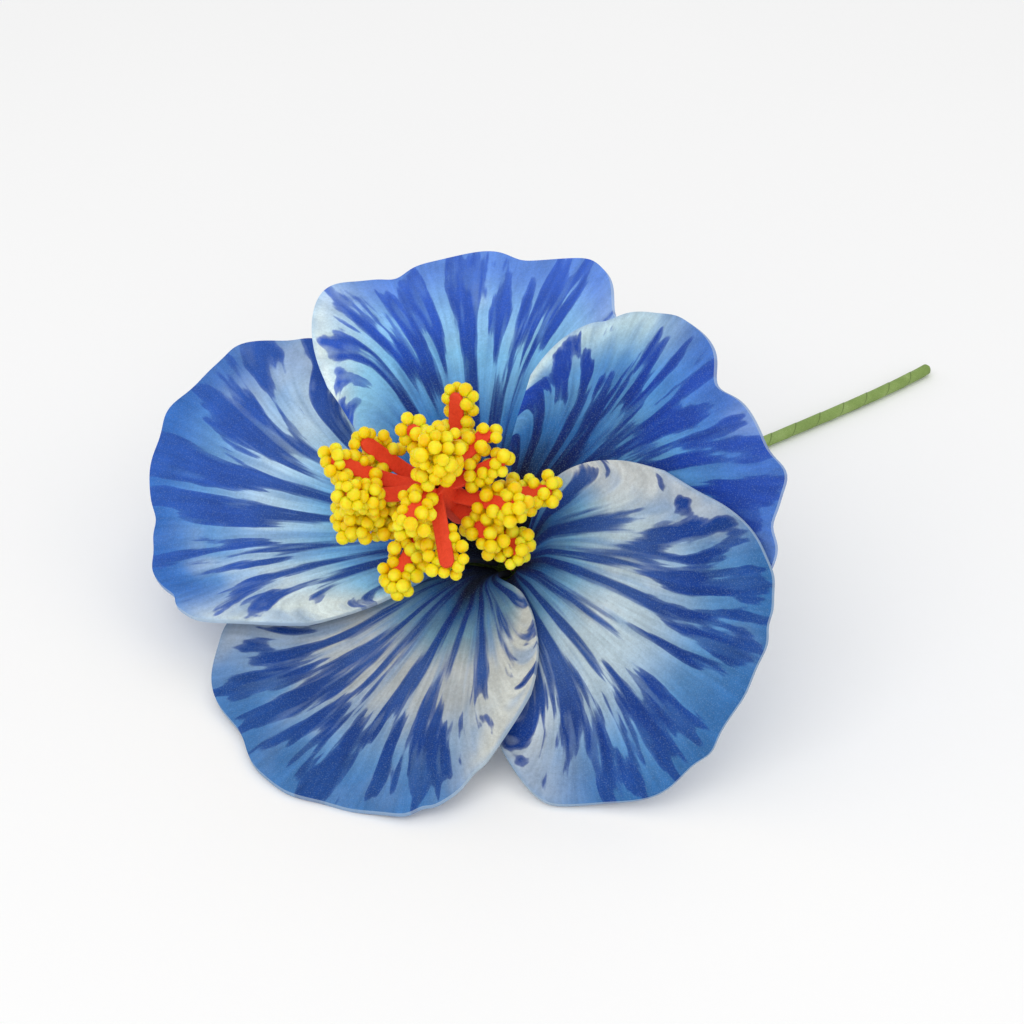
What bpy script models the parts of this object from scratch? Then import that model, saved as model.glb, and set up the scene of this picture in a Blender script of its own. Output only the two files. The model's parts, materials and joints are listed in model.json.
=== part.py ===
"""Artificial hibiscus flower lying on a table.

Five foam petals overlap like a pinwheel in a deep funnel. A rolled foam column with sixteen
short foam filaments stands in the throat, and each filament carries a coat of pollen beads.
A green calyx holds the petal bases, and a tape-wrapped wire stem leaves it, bends down and
lies along the table. All lengths are in metres and all angles in degrees.
"""

import math

import bmesh
import bpy
import numpy as np
from mathutils import Euler, Vector

GAP = 0.0003                        # clearance kept between neighbouring pieces

# The flower's own frame: the throat is its origin and +Z runs out of the corolla. The pistil
# has a frame of its own from the same point, because it stands a little more upright.
LEAN = 40.5                         # tilt of the corolla away from vertical
TURN = -33.5                        # its turn about the vertical
PISTIL_LEAN = 39.0
PISTIL_TURN = -30.5
THROAT = Vector((-0.0116, -0.0134, 0.0116))

# Petals
FOAM = 0.0010                       # thickness of the petal foam
CLAW_RADIUS = 0.0034                # where the petal bases end, from the pistil's axis
CLAW_SPREAD = 33.0                  # half angle of a petal base
FUNNEL_RISE = 0.0130                # height of the steep throat
FUNNEL_SCALE = 0.0045               # how fast the throat opens
FULL_SPREAD_RADIUS = 0.0140         # radius at which a petal has its full half angle
TILT_AT_CLAW = 0.0008               # each petal's leading edge lies over its neighbour
TILT_AT_RIM = 0.0017
CORNER_ROUNDING = 0.36              # how far a petal's outer corners are rounded off
RUFFLE = 0.00035                    # height of the wavy rim

# The corolla of five petals, anticlockwise from the front. base: angle of the petal's base,
# angle: angle of its middle, reach: radius of its rim, trailing and leading: half angles on the
# side under and over the neighbour, bulge: extra half angle of the leading side low down,
# slope and curl: rise of the rim, arch: crown across the petal, lift: rise of its leading edge,
# drop: fall of its trailing edge, skew: one side longer than the other, phase: shift of its waves
PETALS = {
    "petal_top": dict(base=120, angle=117.5, reach=0.0583, trailing=49, leading=42.5, bulge=10,
                      slope=-0.01, curl=-1.2, arch=0.0030, lift=0.0022, drop=0.0005, skew=0.15,
                      phase=0.4),
    "petal_left": dict(base=192, angle=193, reach=0.0629, trailing=44, leading=38.5, bulge=10,
                       slope=0.15, curl=0.1, arch=0.0, lift=0.0020, drop=0.0005, skew=-0.15,
                       phase=1.7),
    "petal_lower_left": dict(base=264, angle=267.5, reach=0.0538, trailing=53.5, leading=41.5,
                             bulge=21, slope=0.21, curl=0.8, arch=0.0, lift=0.0020, drop=0.0013,
                             skew=-0.02, phase=2.9),
    "petal_lower_right": dict(base=336, angle=346, reach=0.0577, trailing=43, leading=42.5,
                              bulge=25.5, slope=0.20, curl=-1.0, arch=0.0, lift=0.0020,
                              drop=0.0005, skew=0.0, phase=4.2),
    "petal_upper_right": dict(base=48, angle=45, reach=0.0529, trailing=55.5, leading=53.5,
                              bulge=0, slope=0.225, curl=0.6, arch=0.0, lift=0.0020,
                              drop=0.0005, skew=-0.13, phase=5.3),
}
CURL_LENGTH = 0.250                 # divides the curl, so that it is a small plain number
PETAL_ROWS = 12
PETAL_COLUMNS = 18

# Calyx: a cup of five pointed sepals under the petals
CALYX_CLEAR = 0.0034                # from the funnel's middle surface to the sepals' middle
SEPAL_THICKNESS = 0.0009
SEPAL_TIP = 0.0150
SEPAL_NOTCH = 0.0075
CALYX_NECK = 0.00195
CALYX_BOTTOM = -0.0085
CALYX_SIDES = 40

# Pistil
COLUMN_RADIUS = 0.0017
HEAD_RADIUS = 0.0026
COLUMN_FOOT = -0.0020
HUB = 0.0405                        # height of the hub, which the filaments leave
COLUMN_TOP = HUB + 0.0012
WIRE_BORE = 0.0008
TIER = 0.0022                       # spacing of the rows of filaments down the column
FOOT_RADIUS = HEAD_RADIUS + GAP
TOP_FOOT_RADIUS = 0.0016
STRIP_WIDTH = 0.0025
STRIP_THICKNESS = 0.0010
PAD_WIDTH = 0.0046
PAD_THICKNESS = 0.0021
STRIP_STATIONS = 6
PAD_SIDES = 8
PAD_SIZES = ((0.50, 0.5), (0.58, 0.75), (0.72, 1.0), (0.98, 1.0), (1.06, 0.7))  # along, size

# Filaments: angle round the pistil, reach of the tip from the axis, height of the tip above
# the hub, tier of the foot (-1 is on top of the column), side of the pollen (1 front, -1 back)
FILAMENTS = [
    (94, 0.0150, 0.0037, 2, -1), (125, 0.0080, 0.0069, 0, -1), (43, 0.0058, 0.0120, -1, 1),
    (63, 0.0128, 0.0006, 0, -1), (38, 0.0123, -0.0009, 1, -1), (172, 0.0123, 0.0062, 2, -1),
    (195, 0.0143, 0.0099, 1, 1), (221, 0.0122, 0.0094, 0, 1), (284, 0.0098, 0.0070, -1, 1),
    (221, 0.0158, 0.0011, 3, 1), (267, 0.0180, -0.0033, 2, 1), (305, 0.0152, 0.0, 0, -1),
    (23, 0.0177, -0.0087, 4, 1), (5, 0.0153, -0.0023, 2, 1), (345, 0.0156, -0.0106, 5, -1),
    (338, 0.0123, -0.0063, 3, -1),
]

# Stem
STEM_RADIUS = 0.00115
TAPE_BORE = 0.00075
WIRE_RADIUS = 0.00045
STEM_START = -0.0030                # height of the tape's upper end in the flower's frame
STEM_STRAIGHT = -0.0100             # the stem leaves the calyx and starts to bend here
BEND_REACH = 0.0130                 # length over which the stem bends down to the table
STEM_END = Vector((0.0882, 0.0828, 0.0))    # the far end, from the throat
STEM_END_HEADING = 42.5
STEM_SIDES = 10
WIRE_SIDES = 8
END_WALL = 0.0008


def smooth(value, low, high):
    """0 below low, 1 above high, and an even curve between them."""
    t = np.clip((value - low) / (high - low), 0.0, 1.0)
    return t * t * (3.0 - 2.0 * t)


def material(name, colour, roughness):
    made = bpy.data.materials.new(name)
    made.use_nodes = True
    shader = made.node_tree.nodes["Principled BSDF"]
    shader.inputs["Base Color"].default_value = (*colour, 1.0)
    shader.inputs["Roughness"].default_value = roughness
    return made


def new_object(name, mesh, finish, parent=None):
    made = bpy.data.objects.new(name, mesh)
    bpy.context.scene.collection.objects.link(made)
    mesh.materials.append(finish)
    mesh.shade_smooth()
    made.parent = parent
    return made


def mesh_from_grid(name, points, wrap=False):
    """A mesh of quads over points[row][column], closed round the columns if wrap is set."""
    rows, columns = points.shape[:2]
    shape = bmesh.new()
    grid = [[shape.verts.new(points[i, j]) for j in range(columns)] for i in range(rows)]
    for i in range(rows - 1):
        for j in range(columns if wrap else columns - 1):
            k = (j + 1) % columns
            shape.faces.new((grid[i][j], grid[i + 1][j], grid[i + 1][k], grid[i][k]))
    mesh = bpy.data.meshes.new(name)
    shape.to_mesh(mesh)
    shape.free()
    return mesh


def solidify(piece, thickness):
    wall = piece.modifiers.new("wall", "SOLIDIFY")
    wall.thickness = thickness
    wall.offset = 0.0
    wall.use_even_offset = True


def funnel(radius, angle):
    """Height and slope of the corolla's common surface at a radius and an angle in degrees."""
    depth = radius - CLAW_RADIUS
    fade = np.exp(-depth / FUNNEL_SCALE)
    slope = curl = total = 0.0
    for petal in PETALS.values():
        away = (angle - petal["angle"] + 180.0) % 360.0 - 180.0
        weight = np.where(abs(away) < 80.0, np.cos(np.radians(away * 90.0 / 80.0)) ** 2, 0.0)
        slope = slope + petal["slope"] * weight
        curl = curl + petal["curl"] * weight
        total = total + weight
    slope, curl = slope / total, curl / total / CURL_LENGTH
    height = FUNNEL_RISE * (1.0 - fade) + slope * depth + curl * depth ** 2
    return height, FUNNEL_RISE / FUNNEL_SCALE * fade + slope + 2.0 * curl * depth


def off_funnel(radius, angle, offset):
    """Points at an offset from the funnel, measured along its normal towards the pistil."""
    height, slope = funnel(radius, angle)
    across = 1.0 / np.sqrt(1.0 + slope ** 2)
    out = radius - offset * across * slope
    turn = np.radians(angle)
    return np.stack([out * np.cos(turn), out * np.sin(turn), height + offset * across], -1)


def petal_points(petal, rows, columns):
    """Middle surface of a petal, from its base to its rim and from trailing to leading edge."""
    along, side = np.meshgrid(np.linspace(0, 1, rows), np.linspace(-1, 1, columns), indexing="ij")
    wave = np.sin(9 * side + petal["phase"])
    fine = np.sin(17 * side + 2 * petal["phase"])
    rim = petal["reach"] * (1 - CORNER_ROUNDING * abs(side) ** 4.5) * (1 + petal["skew"] * side)
    rim = rim * (1 + 0.012 * wave + 0.006 * fine)
    radius = CLAW_RADIUS + (rim - CLAW_RADIUS) * along ** 1.35
    opening = smooth(radius, CLAW_RADIUS, FULL_SPREAD_RADIUS)
    low_down = smooth(radius, CLAW_RADIUS, 0.015) * (1 - smooth(radius, 0.015, 0.045))
    trailing = CLAW_SPREAD + (petal["trailing"] - CLAW_SPREAD) * opening
    leading = CLAW_SPREAD + (petal["leading"] - CLAW_SPREAD) * opening + petal["bulge"] * low_down
    middle = petal["base"] + (petal["angle"] - petal["base"]) * opening
    angle = middle + side * (trailing + (leading - trailing) * (1 + side) / 2)
    tilt = TILT_AT_CLAW + (TILT_AT_RIM - TILT_AT_CLAW) * smooth(radius, CLAW_RADIUS, 0.012)
    outer = smooth(radius, 0.015, 0.057)
    offset = tilt * side + petal["lift"] * outer * smooth(side, 0.35, 1.0)
    offset = offset - petal["drop"] * outer * smooth(-side, 0.2, 1.0)
    offset = offset + petal["arch"] * smooth(radius, 0.020, 0.060) * (1 - side ** 2)
    offset = offset + RUFFLE * wave * smooth(along, 0.6, 1.0)
    return off_funnel(radius, angle, offset)


def make_petals(axis):
    foam = material("petal_foam", (0.05, 0.14, 0.55), 0.85)
    for name, petal in PETALS.items():
        points = petal_points(petal, PETAL_ROWS, PETAL_COLUMNS)
        piece = new_object(name, mesh_from_grid(name, points), foam, axis)
        solidify(piece, FOAM)


def make_calyx(axis):
    """A cup that follows the funnel's back, closed in to a neck round the stem."""
    turns = np.arange(CALYX_SIDES) * 360.0 / CALYX_SIDES
    point = (0.5 + 0.5 * np.cos(np.radians(5 * (turns - 84.0)))) ** 1.5
    rim = SEPAL_NOTCH + (SEPAL_TIP - SEPAL_NOTCH) * point
    start = CLAW_RADIUS + 0.0006
    rows = []
    for radius, height in ((CALYX_NECK, CALYX_BOTTOM), (0.0034, -0.0078), (0.0050, -0.0055),
                           (0.0062, -0.0022)):
        circle = np.radians(turns)
        rows.append(np.stack([radius * np.cos(circle), radius * np.sin(circle),
                              np.full(CALYX_SIDES, height)], -1))
    for step in (0.0, 0.25, 0.5, 0.75, 1.0):
        radius = start + (rim - start) * step
        rows.append(off_funnel(radius, turns, -CALYX_CLEAR))
    green = material("calyx_green", (0.16, 0.27, 0.06), 0.7)
    piece = new_object("calyx", mesh_from_grid("calyx", np.array(rows), wrap=True), green, axis)
    solidify(piece, SEPAL_THICKNESS)


def lathe(name, profile, sides, finish, parent):
    """A turned piece. The profile starts and ends on the axis, at its poles."""
    shape = bmesh.new()
    first = shape.verts.new((0, 0, profile[0][1]))
    last = shape.verts.new((0, 0, profile[-1][1]))
    rings = []
    for radius, height in profile[1:-1]:
        rings.append([shape.verts.new((radius * math.cos(turn), radius * math.sin(turn), height))
                      for turn in np.arange(sides) * math.tau / sides])
    close_rings(shape, rings, first, last)
    mesh = bpy.data.meshes.new(name)
    shape.to_mesh(mesh)
    shape.free()
    return new_object(name, mesh, finish, parent)


def close_rings(shape, rings, first=None, last=None):
    """Quads between successive rings, and fans or flat caps at the two ends."""
    count = len(rings[0])
    for lower, upper in zip(rings, rings[1:]):
        for j in range(count):
            k = (j + 1) % count
            shape.faces.new((lower[j], lower[k], upper[k], upper[j]))
    for ring, pole, flip in ((rings[0], first, True), (rings[-1], last, False)):
        if pole is None:
            shape.faces.new(ring[::-1] if flip else ring)
            continue
        for j in range(count):
            k = (j + 1) % count
            corners = (pole, ring[k], ring[j]) if flip else (pole, ring[j], ring[k])
            shape.faces.new(corners)
    bmesh.ops.recalc_face_normals(shape, faces=shape.faces)


def make_column(pistil):
    """The rolled foam column, with a blind bore for the wire's upper end."""
    red = material("pistil_foam", (0.78, 0.05, 0.02), 0.75)
    head = HUB - 6 * TIER
    profile = [(0, COLUMN_TOP), (HEAD_RADIUS - 0.0004, COLUMN_TOP),
               (HEAD_RADIUS, COLUMN_TOP - 0.0004), (HEAD_RADIUS, head),
               (COLUMN_RADIUS, head - 0.0020), (COLUMN_RADIUS, COLUMN_FOOT),
               (WIRE_BORE, COLUMN_FOOT), (WIRE_BORE, HUB - 0.0020), (0, HUB - 0.0020)]
    lathe("pistil_column", profile, 16, red, pistil)
    return red


def filament_path(filament, along):
    """Middle line of a filament: radius and height in its own upright plane."""
    angle, reach, rise, tier, side = filament
    if tier < 0:
        foot = Vector((TOP_FOOT_RADIUS, COLUMN_TOP + GAP))
        lead = Vector((0.0, 1.0))
    else:
        foot = Vector((FOOT_RADIUS, HUB - tier * TIER))
        lead = Vector((1.0, 0.0))
    tip = Vector((reach, HUB + rise))
    bend = foot + lead * (tip - foot).length * 0.35
    point = foot.lerp(bend, along).lerp(bend.lerp(tip, along), along)
    heading = (bend.lerp(tip, along) - foot.lerp(bend, along)).normalized()
    return point, heading


def filament_frame(filament, along):
    """Centre, heading, sideways and front directions in the pistil's frame."""
    point, heading = filament_path(filament, along)
    turn = math.radians(filament[0])
    out = Vector((math.cos(turn), math.sin(turn), 0))
    up = Vector((0, 0, 1))
    sideways = Vector((-math.sin(turn), math.cos(turn), 0))
    centre = out * point[0] + up * point[1]
    ahead = out * heading[0] + up * heading[1]
    return centre, ahead, sideways, ahead.cross(sideways).normalized()


def loft(name, rings, finish, parent):
    shape = bmesh.new()
    close_rings(shape, [[shape.verts.new(p) for p in ring] for ring in rings])
    mesh = bpy.data.meshes.new(name)
    shape.to_mesh(mesh)
    shape.free()
    return new_object(name, mesh, finish, parent)


def make_filament(index, filament, red, yellow, pistil):
    rings = []
    for along in np.linspace(0, 1, STRIP_STATIONS):
        centre, ahead, sideways, front = filament_frame(filament, along)
        wide, thick = sideways * STRIP_WIDTH / 2, front * STRIP_THICKNESS / 2
        rings.append([centre - wide - thick, centre + wide - thick,
                      centre + wide + thick, centre - wide + thick])
    loft(f"filament_{index:02d}", rings, red, pistil)

    rings = []
    side = filament[4]
    lift = side * (STRIP_THICKNESS / 2 + GAP + PAD_THICKNESS / 2)
    for along, size in PAD_SIZES:
        centre, ahead, sideways, front = filament_frame(filament, along)
        centre = centre + front * lift
        ring = []
        for turn in (np.arange(PAD_SIDES) + 0.5) * math.tau / PAD_SIDES:
            ring.append(centre + sideways * math.cos(turn) * PAD_WIDTH / 2 * size
                        + front * math.sin(turn) * PAD_THICKNESS / 2 * size)
        rings.append(ring)
    loft(f"pollen_{index:02d}", rings, yellow, pistil)


def bezier(start, first, second, end, steps):
    points = []
    for t in np.linspace(0, 1, steps):
        a, b, c = start.lerp(first, t), first.lerp(second, t), second.lerp(end, t)
        points.append(a.lerp(b, t).lerp(b.lerp(c, t), t))
    return points


def stem_line(axis_matrix):
    """Middle line of the stem: down out of the calyx, then in a slow curve along the table."""
    start = axis_matrix @ Vector((0, 0, STEM_START))
    bend = axis_matrix @ Vector((0, 0, STEM_STRAIGHT))
    down = (bend - start).normalized()
    away = Vector((down.x, down.y, 0)).normalized()
    landing = bend + away * BEND_REACH
    landing.z = STEM_RADIUS
    end = THROAT + STEM_END
    end.z = STEM_RADIUS
    heading = math.radians(STEM_END_HEADING)
    last = Vector((math.cos(heading), math.sin(heading), 0))
    third = (end - landing).length / 3
    points = [start, start.lerp(bend, 0.5)]
    points += bezier(bend, bend + down * BEND_REACH * 0.28, landing - away * BEND_REACH * 0.5,
                     landing, 8)
    points += bezier(landing, landing + away * third, end - last * third, end, 9)[1:]
    return points


def rings_along(points, radii, sides):
    """Rings square to a line of points, turned as little as possible from one to the next."""
    rings = []
    across = None
    for i, (point, radius) in enumerate(zip(points, radii)):
        before, after = points[max(i - 1, 0)], points[min(i + 1, len(points) - 1)]
        ahead = (after - before).normalized()
        if across is None:
            across = ahead.orthogonal().normalized()
        across = (across - ahead * across.dot(ahead)).normalized()
        other = ahead.cross(across)
        rings.append([point + across * math.cos(t) * radius + other * math.sin(t) * radius
                      for t in np.arange(sides) * math.tau / sides])
    return rings


def make_stem(axis_matrix, pistil_matrix):
    """Floral tape round a steel wire. The tape closes over the wire's far end."""
    line = stem_line(axis_matrix)
    ahead = (line[-1] - line[-2]).normalized()
    green = material("stem_tape", (0.22, 0.31, 0.08), 0.6)
    steel = material("stem_wire", (0.35, 0.36, 0.37), 0.4)
    tip = [line[-1] + ahead * STEM_RADIUS * f for f in (0.5, 0.87)]
    outer = rings_along(line + tip, [STEM_RADIUS] * len(line)
                        + [STEM_RADIUS * 0.87, STEM_RADIUS * 0.5], STEM_SIDES)
    inner_line = line[:-1] + [line[-1] - ahead * END_WALL]
    inner = rings_along(inner_line, [TAPE_BORE] * len(inner_line), STEM_SIDES)
    loft("stem_tape", inner[::-1] + outer, green, None)

    top = pistil_matrix @ Vector((0, 0, HUB - 0.0020 - GAP))
    middle = pistil_matrix @ Vector((0, 0, 0.5 * HUB))
    far = line[-1] - ahead * (END_WALL + GAP)
    wire = [top, middle, axis_matrix @ Vector((0, 0, 0))] + line[:-1] + [far]
    rings = rings_along(wire, [WIRE_RADIUS] * len(wire), WIRE_SIDES)
    loft("stem_wire", rings, steel, None)


def frame(name, lean, turn):
    """An empty at the throat, tilted by lean and then turned."""
    made = bpy.data.objects.new(name, None)
    bpy.context.scene.collection.objects.link(made)
    made.rotation_euler = Euler((math.radians(lean), 0, math.radians(turn)))
    made.location = THROAT
    return made


def main():
    for old in list(bpy.context.scene.objects):
        bpy.data.objects.remove(old)
    flower = frame("flower_axis", LEAN, TURN)
    pistil = frame("pistil_axis", PISTIL_LEAN, PISTIL_TURN)
    bpy.context.view_layer.update()

    make_petals(flower)
    make_calyx(flower)
    red = make_column(pistil)
    yellow = material("pollen_beads", (0.95, 0.75, 0.02), 0.35)
    for index, filament in enumerate(FILAMENTS, start=1):
        make_filament(index, filament, red, yellow, pistil)
    make_stem(flower.matrix_world.copy(), pistil.matrix_world.copy())


main()
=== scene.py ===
"""Looks of an artificial hibiscus: dyed foam petals, a beaded foam pistil, calyx and taped stem.

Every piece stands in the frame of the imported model, in metres. The flower's own frame has the
throat as its origin and +Z out of the corolla. Constants and tables give angles in degrees.
"""

import json
import math

import bpy
import numpy as np
from mathutils import Euler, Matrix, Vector

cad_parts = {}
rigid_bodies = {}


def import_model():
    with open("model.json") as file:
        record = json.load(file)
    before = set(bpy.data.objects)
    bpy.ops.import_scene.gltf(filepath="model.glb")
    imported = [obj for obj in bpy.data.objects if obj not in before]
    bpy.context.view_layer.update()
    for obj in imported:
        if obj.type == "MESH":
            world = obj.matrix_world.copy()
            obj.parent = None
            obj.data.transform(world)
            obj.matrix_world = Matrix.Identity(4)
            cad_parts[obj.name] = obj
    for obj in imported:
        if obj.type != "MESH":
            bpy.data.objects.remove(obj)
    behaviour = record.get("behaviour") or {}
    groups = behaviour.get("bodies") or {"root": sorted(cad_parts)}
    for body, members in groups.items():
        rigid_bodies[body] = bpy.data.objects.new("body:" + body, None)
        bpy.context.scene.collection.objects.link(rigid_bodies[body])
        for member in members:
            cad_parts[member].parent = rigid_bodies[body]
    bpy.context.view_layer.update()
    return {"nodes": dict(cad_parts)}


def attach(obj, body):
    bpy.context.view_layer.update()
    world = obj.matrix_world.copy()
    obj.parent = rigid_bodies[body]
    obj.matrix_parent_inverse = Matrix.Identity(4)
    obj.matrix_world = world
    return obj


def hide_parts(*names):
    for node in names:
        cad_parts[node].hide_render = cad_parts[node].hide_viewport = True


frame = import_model()

# ---------------------------------------------------------------- sizes shared with the CAD

LEAN, TURN = 40.5, -33.5
PISTIL_LEAN, PISTIL_TURN = 39.0, -30.5
THROAT = Vector((-0.0116, -0.0134, 0.0116))

FOAM = 0.0010
CLAW_RADIUS = 0.0034
CLAW_SPREAD = 33.0
FUNNEL_RISE = 0.0130
FUNNEL_SCALE = 0.0045
FULL_SPREAD_RADIUS = 0.0140
TILT_AT_CLAW, TILT_AT_RIM = 0.0008, 0.0017
CORNER_ROUNDING = 0.36
RUFFLE = 0.00035
CURL_LENGTH = 0.250
BREADTH_POWER = 1.35                # rows crowd towards the base as the petal narrows
RIBS, RIB_HEIGHT = 34, 0.00009      # faint ribs pressed into the petals

PETALS = {
    "petal_top": dict(base=120, angle=117.5, reach=0.0583, trailing=49, leading=42.5, bulge=10,
                      slope=-0.01, curl=-1.2, arch=0.0030, lift=0.0022, drop=0.0005, skew=0.15,
                      phase=0.4),
    "petal_left": dict(base=192, angle=193, reach=0.0629, trailing=44, leading=38.5, bulge=10,
                       slope=0.15, curl=0.1, arch=0.0, lift=0.0020, drop=0.0005, skew=-0.15,
                       phase=1.7),
    "petal_lower_left": dict(base=264, angle=267.5, reach=0.0538, trailing=53.5, leading=41.5,
                             bulge=21, slope=0.21, curl=0.8, arch=0.0, lift=0.0020, drop=0.0013,
                             skew=-0.02, phase=2.9),
    "petal_lower_right": dict(base=336, angle=346, reach=0.0577, trailing=43, leading=42.5,
                              bulge=25.5, slope=0.20, curl=-1.0, arch=0.0, lift=0.0020,
                              drop=0.0005, skew=0.0, phase=4.2),
    "petal_upper_right": dict(base=48, angle=45, reach=0.0529, trailing=55.5, leading=53.5,
                              bulge=0, slope=0.225, curl=0.6, arch=0.0, lift=0.0020,
                              drop=0.0005, skew=-0.13, phase=5.3),
}

CALYX_CLEAR = 0.0034
SEPAL_THICKNESS = 0.0009
SEPALS = 5
SEPAL_ANGLE = 84.0                  # angle of the first sepal
SEPAL_BASE = CLAW_RADIUS + 0.0006
SEPAL_TIP, SEPAL_NOTCH = 0.0150, 0.0075
VEINS = 60                          # round the whole calyx
CUP_RADII = (0.00195, 0.0034, 0.0050, 0.0062)
CUP_HEIGHTS = (-0.0085, -0.0078, -0.0055, -0.0022)
CUP_RUNS = (0.0, 0.10, 0.22, 0.34, 0.45)    # the cup's rings, and last where its sepals begin

COLUMN_RADIUS, HEAD_RADIUS = 0.0017, 0.0026
COLUMN_FOOT = -0.0020
HUB = 0.0405
TIER = 0.0022
TOP_FOOT_RADIUS, TOP_FOOT_RISE = 0.0016, 0.0004
FOOT_SINK = 0.0004                  # how far the other filaments' feet are sunk into the head
ROLL_LAYER = 0.92 * FOAM            # thickness of the rolled foam, so that its turns stay apart
ROLL_EYE = 0.0004                   # radius at which the roll begins
CORE_TOP, WRAP_TOP = HUB + 0.0010, HUB + 0.0012
WRAP_START = 0.35                   # where the outer roll begins, in turns
WRAP_PROUD = 0.0004                 # how far its end stands out past the head
STRIP_WIDTH, STRIP_THICKNESS = 0.0025, 0.0010
STRIP_CROWN = 0.00010
STRIP_ROUNDING = 0.07               # length of a strip's rounded tip, as a share

# Filaments: angle round the pistil, reach of the tip, its rise above the hub, tier of the foot
# (-1 is on top of the column), how its pollen lies, and from where along it. The pollen lies
# behind the strip, along its edges, in a ring or a thicker one that leaves the middle of the
# strip bare, in a knob round its tip, or all over it
FILAMENTS = [
    (94, 0.0150, 0.0037, 2, "behind", 0.60), (125, 0.0080, 0.0069, 0, "edges", 0.48),
    (43, 0.0058, 0.0120, -1, "all", 0.45), (63, 0.0128, 0.0006, 0, "edges", 0.42),
    (38, 0.0123, -0.0009, 1, "edges", 0.40), (172, 0.0123, 0.0062, 2, "behind", 0.60),
    (195, 0.0143, 0.0099, 1, "ring", 0.64), (221, 0.0122, 0.0094, 0, "knob", 0.62),
    (284, 0.0098, 0.0070, -1, "ring", 0.42), (221, 0.0158, 0.0011, 3, "all", 0.50),
    (267, 0.0180, -0.0033, 2, "thick", 0.26), (305, 0.0152, 0.0, 0, "behind", 0.56),
    (23, 0.0177, -0.0087, 4, "ring", 0.50), (5, 0.0153, -0.0023, 2, "ring", 0.46),
    (345, 0.0156, -0.0106, 5, "ring", 0.52), (338, 0.0123, -0.0063, 3, "ring", 0.50),
]
BEAD_RADIUS = 0.00125
BEAD_SIZES = (1.0, 0.96, 0.90, 0.84, 0.78)  # as shares of the full radius
BEAD_LAYERS = {"behind": (0, 0, 1), "edges": (0, 0), "ring": (0, 0, 1), "knob": (0, 0, 1),
               "thick": (0, 0, 1, 1), "all": (0, 0, 1, 2)}
LAYER_HEIGHT = 0.0010
BEAD_STAND = 0.56                   # how far a bead's centre stands off, as a share of its radius
BEAD_SPACING = 0.73                 # least distance of two centres, as a share of their radii
BEAD_TRIES = 150                    # places tried for the beads of each layer
BEAD_SEED = 11
PAST_TIP = 0.05                     # how far the coat runs on past its filament's tip, as a share

STEM_RADIUS = 0.00115
STEM_START, STEM_STRAIGHT = -0.0030, -0.0100
BEND_REACH = 0.0130
STEM_END = Vector((0.0882, 0.0828, 0.0))
STEM_END_HEADING = 42.5
TAPE_PITCH = 0.0065                 # length of stem that one turn of the tape covers
TAPE_OVERLAP = 0.00007              # height of the step where the tape laps over itself
ROUND_START, ROUND_END = 0.0006, 0.0009     # lengths over which the tape's ends close


def flower_matrix(lean, turn):
    """From the flower's own frame to the world."""
    placed = Euler((math.radians(lean), 0, math.radians(turn))).to_matrix().to_4x4()
    placed.translation = THROAT
    return placed


AXIS = flower_matrix(LEAN, TURN)
PISTIL = flower_matrix(PISTIL_LEAN, PISTIL_TURN)


# ---------------------------------------------------------------- node helpers

def rgb(red, green, blue):
    """A display colour from 0 to 255 as the linear colour that a shader takes."""
    linear = [c / 255 / 12.92 if c <= 10 else ((c / 255 + 0.055) / 1.055) ** 2.4
              for c in (red, green, blue)]
    return (*linear, 1.0)


def add(tree, kind, inputs=(), **settings):
    """A new shader node. inputs maps sockets to values or to the sockets that feed them."""
    made = tree.nodes.new("ShaderNode" + kind)
    for name, value in settings.items():
        setattr(made, name, value)
    for socket, value in dict(inputs).items():
        if isinstance(value, bpy.types.NodeSocket):
            tree.links.new(value, made.inputs[socket])
        else:
            made.inputs[socket].default_value = value
    return made


def coordinates(tree, kind):
    return add(tree, "TexCoord").outputs[kind]


def scaled_by(tree, colour, factor):
    """A colour made brighter or darker."""
    return add(tree, "VectorMath", {0: colour, "Scale": factor}, operation="SCALE").outputs[0]


def calc(tree, operation, first, second=0.0, third=0.0):
    return add(tree, "Math", {0: first, 1: second, 2: third}, operation=operation).outputs[0]


def step(tree, value, low, high, start=0.0, end=1.0):
    """start below low, end above high, and a smooth change between."""
    return add(tree, "MapRange", {0: value, 1: low, 2: high, 3: start, 4: end},
               interpolation_type="SMOOTHSTEP").outputs[0]


def blend(tree, share, first, second, way="MIX"):
    return add(tree, "Mix", {0: share, 6: first, 7: second}, data_type="RGBA",
               blend_type=way).outputs[2]


def ramp(tree, value, *stops):
    """A colour ramp of (place, colour) stops."""
    made = add(tree, "ValToRGB", {0: value})
    elements = made.color_ramp.elements
    while len(elements) < len(stops):
        elements.new(0.5)
    for element, (place, colour) in zip(elements, stops):
        element.position = place
        element.color = colour
    return made.outputs[0]


def level(value):
    return (value, value, value, 1.0)


def noise(tree, vector, scale, detail=2.0, roughness=0.5):
    return add(tree, "TexNoise", {"Vector": vector, "Scale": scale, "Detail": detail,
                                  "Roughness": roughness}).outputs[0]


def group(name, inputs, outputs):
    """A new node group with its sockets, its input and output nodes."""
    tree = bpy.data.node_groups.new(name, "ShaderNodeTree")
    for label, kind in inputs:
        tree.interface.new_socket(label, in_out="INPUT", socket_type="NodeSocket" + kind)
    for label, kind in outputs:
        tree.interface.new_socket(label, in_out="OUTPUT", socket_type="NodeSocket" + kind)
    return tree, tree.nodes.new("NodeGroupInput").outputs, tree.nodes.new("NodeGroupOutput").inputs


def use(tree, shared, inputs):
    """The outputs of a shared node group, with its own settings."""
    return add(tree, "Group", inputs, node_tree=shared).outputs


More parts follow.
